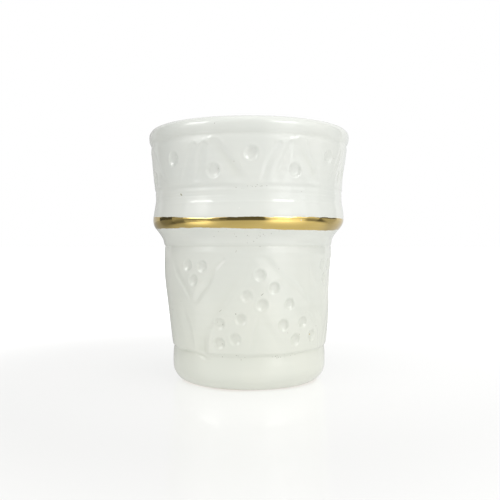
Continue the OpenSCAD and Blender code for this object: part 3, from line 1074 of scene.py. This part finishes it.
studio = {
    "floorSize": 8.0,
    "floorColour": (0.3, 0.3, 0.29, 1),
    # The floor's glow is weaker near the cup: a painted pale shade round it, under which the cup's shadow
    # and reflection show
    "floorGlow": (0.54, 1.0),  # as the camera sees it, near the cup and far off, where it is white
    "floorReach": (0.07, 0.22),
    # The floor also glows for the cup and lights it from below, brighter to the right: painted light from a
    # glowing floor
    "floorLight": 0.58,  # as the cup sees it, a lit table
    "floorSlant": 1.2,  # brighter to the right, per metre
    "floorLimits": (0.1, 0.7),
    # strength of the room for diffuse light and in reflections, and how much brighter to the right
    "roomDiffuse": (0.52, 0.25),
    "roomGlossy": (0.66, 0.3),
    "glossyLimits": (0.52, 0.75),
    "cameraPlace": (0.00031, -0.2007, 0.04196),
    "cameraTilt": 90 - 0.716,
    "lens": 46.08,
    "sensor": 36,
}
# Softboxes: first and last angle from the front, lowest and highest edge in m, radiance. A Shine is hot,
# mirrored by carved edges only and seen in reflections only, a Fill is seen by diffuse light only
softboxes = {
    "rightLow": (24, 69, 0.1, 0.26, 1.0),
    "rightHigh": (24, 69, 0.26, 0.62, 0.8),
    "rightCore": (33, 49, 0.0, 0.21, 1.1),
    "leftLow": (-80, -46, 0.1, 0.26, 1.0),
    "leftHigh": (-80, -46, 0.26, 0.62, 0.9),
    "leftCore": (-63, -50, 0.12, 0.27, 1.2),
    "leftWing": (-46, -24, 0.1, 0.62, 0.4),
    "leftShine": (-74, -46, 0.28, 0.5, 5.0),
    "rightShine": (28, 56, 0.28, 0.5, 4.5),
    "leftFill": (-79, -38, 0.015, 0.35, 0.8),
    "rightFill": (24, 69, 0.015, 0.3, 0.3),
}
boxDistance = 0.62
# One more box overhead, which lights the table
overhead = {"place": (0.1, -0.3, 0.9), "size": (0.8, 0.8), "radiance": 2.0}
# Dark parts of the room that only reflections see: first and last angle, brightness
cards = {
    "frontCard": (-34, 19, 0.1),
    "rightCard": (90, 128, 0.15),
    "leftCard": (-127, -99, 0.07),
    "leftEdgeCard": (-99, -79, 0.35),
}
cardShape = {"distance": 1.1, "edges": (0.002, 1.6), "steps": 8}
# The table as reflections see it: a sheet whose glow is painted light in place of lamplight on it, ending in
# dark polish before the camera
table = {
    "size": 3.0,
    "drop": 0.0004,
    "sheetRadius": (0.095, 0.15),
    "sheet": 0.53,
    # Painted light: the sheet's glow grows to the right
    "slant": 1.6,  # brighter to the right, per metre
    "limits": (0.3, 0.75),
    "beyond": 0.05,
    "behind": (0.0, 0.06),  # y over which the dark part ends
    # Painted shade: the sheet glows less behind the cup
    "behindShare": 0.52,  # of the sheet's glow, behind the cup
    "roughness": (0.32, 0.06),
    # painted reflections: brighter glowing patches where the table would mirror a softbox: angle, half width
    # of the core and of the whole, distances over which it grows, and how bright it gets on the sheet and
    # beyond it
    "patches": [(42, 8, 28, 0.045, 0.15, 0.7, 0.7), (-58, 4, 20, 0.05, 0.12, 0.5, 0.0)],
}


def placeAt(angle, distance, height):
    turn = math.radians(angle)
    return (distance * math.sin(turn), -distance * math.cos(turn), height)


def makeWorld():
    world = bpy.data.worlds.new("studioWorld")
    bpy.context.scene.world = world
    tree = clearedTree(world)
    path = addNode(tree, "ShaderNodeLightPath").outputs
    direction = addNode(tree, "ShaderNodeTexCoord").outputs["Generated"]
    right = addAxes(tree, direction)["X"]
    shiny = addMath(tree, "MAXIMUM", path["Is Glossy Ray"], path["Is Transmission Ray"])
    strength, slant = studio["roomDiffuse"]
    room = addMath(tree, "MULTIPLY_ADD", right, slant, strength)
    strength, slant = studio["roomGlossy"]
    reflected = addSlope(tree, right, slant, strength, *studio["glossyLimits"])
    seen = addFloatMix(tree, path["Is Camera Ray"], addFloatMix(tree, shiny, room, reflected), 1.0)
    back = addNode(tree, "ShaderNodeBackground", {"Color": (1, 1, 1, 1), "Strength": seen})
    addNode(tree, "ShaderNodeOutputWorld", {"Surface": back.outputs[0]})


def makeLight(name, size, radiance, location, rotation):
    light = bpy.data.lights.new(name, "AREA")
    light.shape = "RECTANGLE"
    light.size, light.size_y = size
    light.energy = radiance * math.pi * light.size * light.size_y
    lamp = placeObject(name, light)
    lamp.location = location
    lamp.rotation_euler = rotation
    lamp.visible_camera = False
    return lamp


def makeSoftbox(name, first, last, low, high, radiance):
    middle = (first + last) / 2
    width = 2 * boxDistance * math.tan(math.radians(last - first) / 2)
    location = placeAt(middle, boxDistance, (low + high) / 2)
    rotation = (math.radians(90), 0, math.radians(middle))
    lamp = makeLight(name, (width, high - low), radiance, location, rotation)
    lamp.visible_glossy = "Fill" not in name
    lamp.visible_diffuse = "Shine" not in name


# A glowing card that neither the camera nor diffuse light sees
def makeCard(name, first, last, grey):
    steps = cardShape["steps"]
    vertices = [placeAt(mix(first, last, i / steps), cardShape["distance"], edge)
                for i in range(steps + 1) for edge in cardShape["edges"]]
    faces = [(2 * i, 2 * i + 2, 2 * i + 3, 2 * i + 1) for i in range(steps)]
    piece = stagePiece(name, vertices, faces)
    material = bpy.data.materials.new(name)
    tree = clearedTree(material)
    glow = addNode(tree, "ShaderNodeEmission", {"Color": (1, 1, 1, 1), "Strength": grey})
    addNode(tree, "ShaderNodeOutputMaterial", {"Surface": glow.outputs[0]})
    piece.data.materials.append(material)
    hideFromAllButGloss(piece)


def stagePiece(name, vertices, faces):
    mesh = bpy.data.meshes.new(name)
    mesh.from_pydata(vertices, [], faces)
    piece = placeObject(name, mesh)
    return piece


def hideFromAllButGloss(piece):
    piece.visible_camera = False
    piece.visible_diffuse = False
    piece.visible_shadow = False


def stageSquare(name, size, height):
    half = size / 2
    corners = [(-half, -half, height), (half, -half, height), (half, half, height), (-half, half, height)]
    return stagePiece(name, corners, [(0, 1, 2, 3)])


def makeFloor():
    floor = stageSquare("studioFloor", studio["floorSize"], 0)
    material, tree, shader = newMaterial("paleFloor")
    place = addPlace(tree)
    # Weaker glow near the cup: painted pale shade round it
    seen = addRange(tree, addLength(tree, place), *studio["floorReach"], *studio["floorGlow"])
    right = addAxes(tree, place)["X"]
    # Glow that lights the cup from below, brighter to the right: painted light
    cast = addSlope(tree, right, studio["floorSlant"], studio["floorLight"], *studio["floorLimits"])
    path = addNode(tree, "ShaderNodeLightPath").outputs
    glow = addFloatMix(tree, path["Is Camera Ray"], cast, seen)
    feed(tree, shader, {"Base Color": studio["floorColour"], "Roughness": 0.1,
                        "Emission Color": (1, 1, 1, 1), "Emission Strength": glow})
    floor.data.materials.append(material)
    floor.visible_glossy = False
    floor.visible_shadow = False


def makeTable():
    piece = stageSquare("darkTable", table["size"], -table["drop"])
    material, tree, shader = newMaterial("darkTable")
    place = addPlace(tree)
    reach, axes = addLength(tree, place), addAxes(tree, place)
    # Painted shade behind the cup: the sheet glows less there
    before = addRange(tree, axes["Y"], *table["behind"], 1.0, 0.0)
    dark = times(tree, addRange(tree, reach, *table["sheetRadius"]), before)
    # The sheet's glow, brighter to the right: painted light
    lit = addSlope(tree, axes["X"], table["slant"], table["sheet"], *table["limits"])
    lit = times(tree, lit, addFloatMix(tree, before, table["behindShare"], 1.0))
    glow = addFloatMix(tree, dark, lit, table["beyond"])
    # Painted reflections of the softboxes, as glowing patches on the sheet
    for angle, core, whole, start, end, near, far in table["patches"]:
        inputs = {0: place, 1: placeAt(angle, 1, 0)}
        along = addNode(tree, "ShaderNodeVectorMath", inputs, operation="DOT_PRODUCT").outputs["Value"]
        edges = [math.cos(math.radians(turn)) for turn in (whole, core)]
        facing = addRange(tree, addMath(tree, "DIVIDE", along, reach), *edges)
        patch = times(tree, facing, addRange(tree, reach, start, end))
        glow = addMath(tree, "MULTIPLY_ADD", patch, addFloatMix(tree, dark, near, far), glow)
    roughness = addFloatMix(tree, dark, *table["roughness"])
    feed(tree, shader, {"Base Color": (0.02, 0.02, 0.02, 1), "Roughness": roughness, "IOR": 2.2,
                        "Emission Color": (1, 1, 0.98, 1), "Emission Strength": glow})
    piece.data.materials.append(material)
    hideFromAllButGloss(piece)


def makeCamera():
    camera = bpy.data.cameras.new("photoCamera")
    camera.sensor_width = studio["sensor"]
    camera.lens = studio["lens"]
    camera.clip_start = 0.01
    camera.clip_end = 30
    eye = placeObject("photoCamera", camera)
    eye.location = studio["cameraPlace"]
    eye.rotation_euler = (math.radians(studio["cameraTilt"]), 0, 0)
    bpy.context.scene.camera = eye


makeWorld()
for name, box in softboxes.items():
    makeSoftbox(name, *box)
top = makeLight("overhead", overhead["size"], overhead["radiance"], overhead["place"], (0, 0, 0))
top.visible_glossy = False
for name, card in cards.items():
    makeCard(name, *card)
makeTable()
makeFloor()
makeCamera()
bpy.context.scene.view_settings.view_transform = "Standard"
print("stage: studio made")
